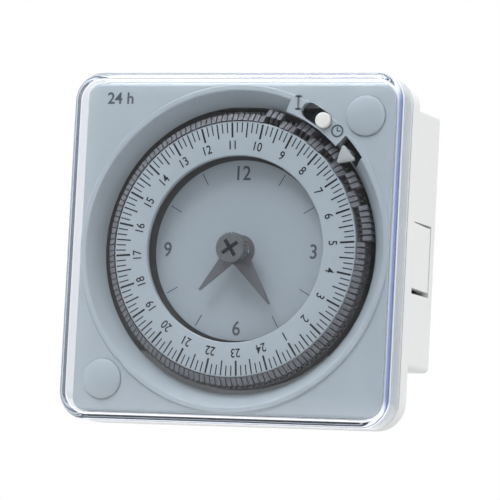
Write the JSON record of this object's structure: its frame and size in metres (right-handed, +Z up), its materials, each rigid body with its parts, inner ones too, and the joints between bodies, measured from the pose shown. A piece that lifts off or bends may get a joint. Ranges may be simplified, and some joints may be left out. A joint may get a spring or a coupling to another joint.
{
  "type": "programmable timer",
  "caption": "Square panel-mounting 24-hour timer with a clear pull-off cover, a rotating program dial with sliding tappets, clock hands, an override slide and rear terminals.",
  "frame": {"origin": "centre of the flange's rear face, in the plane that bears on the panel", "axes": "+X to the right seen from the front, +Y backwards into the panel, +Z up; the dial faces -Y"},
  "size_m": [0.072, 0.0322, 0.072],
  "materials": {
    "case_white": "fine satin moulded plastic",
    "plate_grey": "satin light blue-grey plastic",
    "clear_cover": "polished clear plastic",
    "ring_grey": "satin light grey with printed scale",
    "tappet_grey": "matt mauve-grey plastic",
    "carrier_grey": "matt dark grey plastic",
    "face_grey": "satin grey with printed numerals",
    "hand_grey": "matt dark grey paint",
    "knob_grey": "satin grey plastic",
    "cream": "satin cream plastic",
    "brass": "machined brass",
    "steel": "bright steel",
    "movement_plate": "dark moulded plastic",
    "acetal": "natural acetal",
    "terminal_grey": "grey insulating plastic",
    "switch_black": "black moulded plastic"
  },
  "bodies": {
    "case": {"case": "case_white", "rear_cover": "case_white", "front_plate": "plate_grey", "screw_plugs": "plate_grey", "fixing_screws": "steel", "time_pointer": "cream", "clock_face": "face_grey", "dial_retaining_ring": "steel", "front_movement_plate": "movement_plate", "rear_movement_plate": "movement_plate", "movement_pillars": "brass", "movement_screws": "steel", "motor_can": "steel", "motor_screws": "steel", "switch_case": "switch_black", "switch_blades": "brass", "terminal_block": "terminal_grey", "terminal_clamps": "brass", "terminal_screws": "steel", "minute_wheel_stud": "steel"},
    "cover": {"cover": "clear_cover"},
    "right_latch": {"right_latch": "case_white"},
    "left_latch": {"left_latch": "case_white"},
    "dial": {"dial_carrier": "carrier_grey", "program_ring": "ring_grey", "dial_gear": "acetal", "tappets_1000_to_1600": "tappet_grey", "tappets_1600_to_2200": "tappet_grey", "tappets_2200_to_0500": "tappet_grey"},
    "minute_work": {"minute_hand": "hand_grey", "setting_knob": "knob_grey", "minute_arbor": "steel", "cannon_pinion": "brass", "centre_wheel": "brass", "friction_washer": "steel"},
    "hour_work": {"hour_wheel": "acetal", "hour_hand": "hand_grey"},
    "minute_wheel": {"minute_wheel": "acetal", "minute_pinion": "acetal"},
    "dial_drive": {"drive_wheel": "acetal", "drive_pinion": "acetal", "drive_arbor": "steel"},
    "motor_output": {"motor_shaft": "steel", "motor_pinion": "brass"},
    "override": {"override_slide": "cream"},
    "lever": {"sensing_lever": "acetal"},
    "plunger": {"switch_plunger": "acetal"},
    "tappets_0500": {"tappets_0500": "tappet_grey"},
    "tappets_0530": {"tappets_0530": "tappet_grey"},
    "tappets_0600": {"tappets_0600": "tappet_grey"},
    "tappets_0630": {"tappets_0630": "tappet_grey"},
    "tappets_0700": {"tappets_0700": "tappet_grey"},
    "tappets_0730": {"tappets_0730": "tappet_grey"},
    "tappets_0800": {"tappets_0800": "tappet_grey"},
    "tappets_0830": {"tappets_0830": "tappet_grey"},
    "tappets_0900": {"tappets_0900": "tappet_grey"},
    "tappets_0930": {"tappets_0930": "tappet_grey"}
  },
  "joints": [
    {"name": "cover_pull_off", "type": "slide", "parent": "case", "child": "cover", "axis": [0, -1, 0], "range_m": [0, 0.03]},
    {"name": "right_latch_flex", "type": "hinge", "parent": "case", "child": "right_latch", "pos_m": [0.03275, 0.0011, 0.00055], "axis": [0, 0, 1], "range_deg": [0, 10], "stiffness_Nm_per_rad": 0.15},
    {"name": "left_latch_flex", "type": "hinge", "parent": "case", "child": "left_latch", "pos_m": [-0.03275, 0.0011, 0.00055], "axis": [0, 0, -1], "range_deg": [0, 10], "stiffness_Nm_per_rad": 0.15},
    {"name": "dial_turn", "type": "hinge", "parent": "case", "child": "dial", "pos_m": [0, -0.004, 0], "axis": [0, 1, 0], "continuous": true},
    {"name": "minute_turn", "type": "hinge", "parent": "case", "child": "minute_work", "pos_m": [0, -0.004, 0], "axis": [0, 1, 0], "continuous": true},
    {"name": "hour_turn", "type": "hinge", "parent": "case", "child": "hour_work", "pos_m": [0, -0.004, 0], "axis": [0, 1, 0], "continuous": true},
    {"name": "minute_wheel_turn", "type": "hinge", "parent": "case", "child": "minute_wheel", "pos_m": [-0.00752, 0.003, -0.00274], "axis": [0, 1, 0], "continuous": true},
    {"name": "dial_drive_turn", "type": "hinge", "parent": "case", "child": "dial_drive", "pos_m": [0.0064, 0.003, -0.01109], "axis": [0, 1, 0], "continuous": true},
    {"name": "motor_turn", "type": "hinge", "parent": "case", "child": "motor_output", "pos_m": [-0.00182, 0.005, 0.01034], "axis": [0, 1, 0], "continuous": true},
    {"name": "override_slide", "type": "slide", "parent": "case", "child": "override", "axis": [-0.8499, 0, 0.527], "range_m": [0, 0.0037]},
    {"name": "lever_rock", "type": "hinge", "parent": "case", "child": "lever", "pos_m": [0.0299, 0, 0.0109], "axis": [0, 1, 0], "range_deg": [0, 4.8], "stiffness_Nm_per_rad": 0.01},
    {"name": "plunger_press", "type": "slide", "parent": "case", "child": "plunger", "axis": [-1, 0, 0], "range_m": [0, 0.0007]},
    {"name": "tappets_0500_slide", "type": "slide", "parent": "dial", "child": "tappets_0500", "axis": [0.9909, 0, 0.1349], "range_m": [-0.0014, 0]},
    {"name": "tappets_0530_slide", "type": "slide", "parent": "dial", "child": "tappets_0530", "axis": [0.9648, 0, 0.263], "range_m": [-0.0014, 0]},
    {"name": "tappets_0600_slide", "type": "slide", "parent": "dial", "child": "tappets_0600", "axis": [0.9222, 0, 0.3867], "range_m": [0, 0.0014]},
    {"name": "tappets_0630_slide", "type": "slide", "parent": "dial", "child": "tappets_0630", "axis": [0.8638, 0, 0.5038], "range_m": [-0.0014, 0]},
    {"name": "tappets_0700_slide", "type": "slide", "parent": "dial", "child": "tappets_0700", "axis": [0.7907, 0, 0.6122], "range_m": [0, 0.0014]},
    {"name": "tappets_0730_slide", "type": "slide", "parent": "dial", "child": "tappets_0730", "axis": [0.704, 0, 0.7102], "range_m": [-0.0014, 0]},
    {"name": "tappets_0800_slide", "type": "slide", "parent": "dial", "child": "tappets_0800", "axis": [0.6053, 0, 0.796], "range_m": [0, 0.0014]},
    {"name": "tappets_0830_slide", "type": "slide", "parent": "dial", "child": "tappets_0830", "axis": [0.4962, 0, 0.8682], "range_m": [-0.0014, 0]},
    {"name": "tappets_0900_slide", "type": "slide", "parent": "dial", "child": "tappets_0900", "axis": [0.3786, 0, 0.9255], "range_m": [0, 0.0014]},
    {"name": "tappets_0930_slide", "type": "slide", "parent": "dial", "child": "tappets_0930", "axis": [0.2546, 0, 0.967], "range_m": [-0.0014, 0]}
  ],
  "couplings": [
    {"joint": "minute_turn", "follows": "dial_turn", "ratio": 24},
    {"joint": "hour_turn", "follows": "dial_turn", "ratio": 2},
    {"joint": "minute_wheel_turn", "follows": "dial_turn", "ratio": -8},
    {"joint": "dial_drive_turn", "follows": "dial_turn", "ratio": -2},
    {"joint": "motor_turn", "follows": "dial_turn", "ratio": -144},
    {"joint": "plunger_press", "follows": "lever_rock", "m_per_rad": 0.0074}
  ]
}
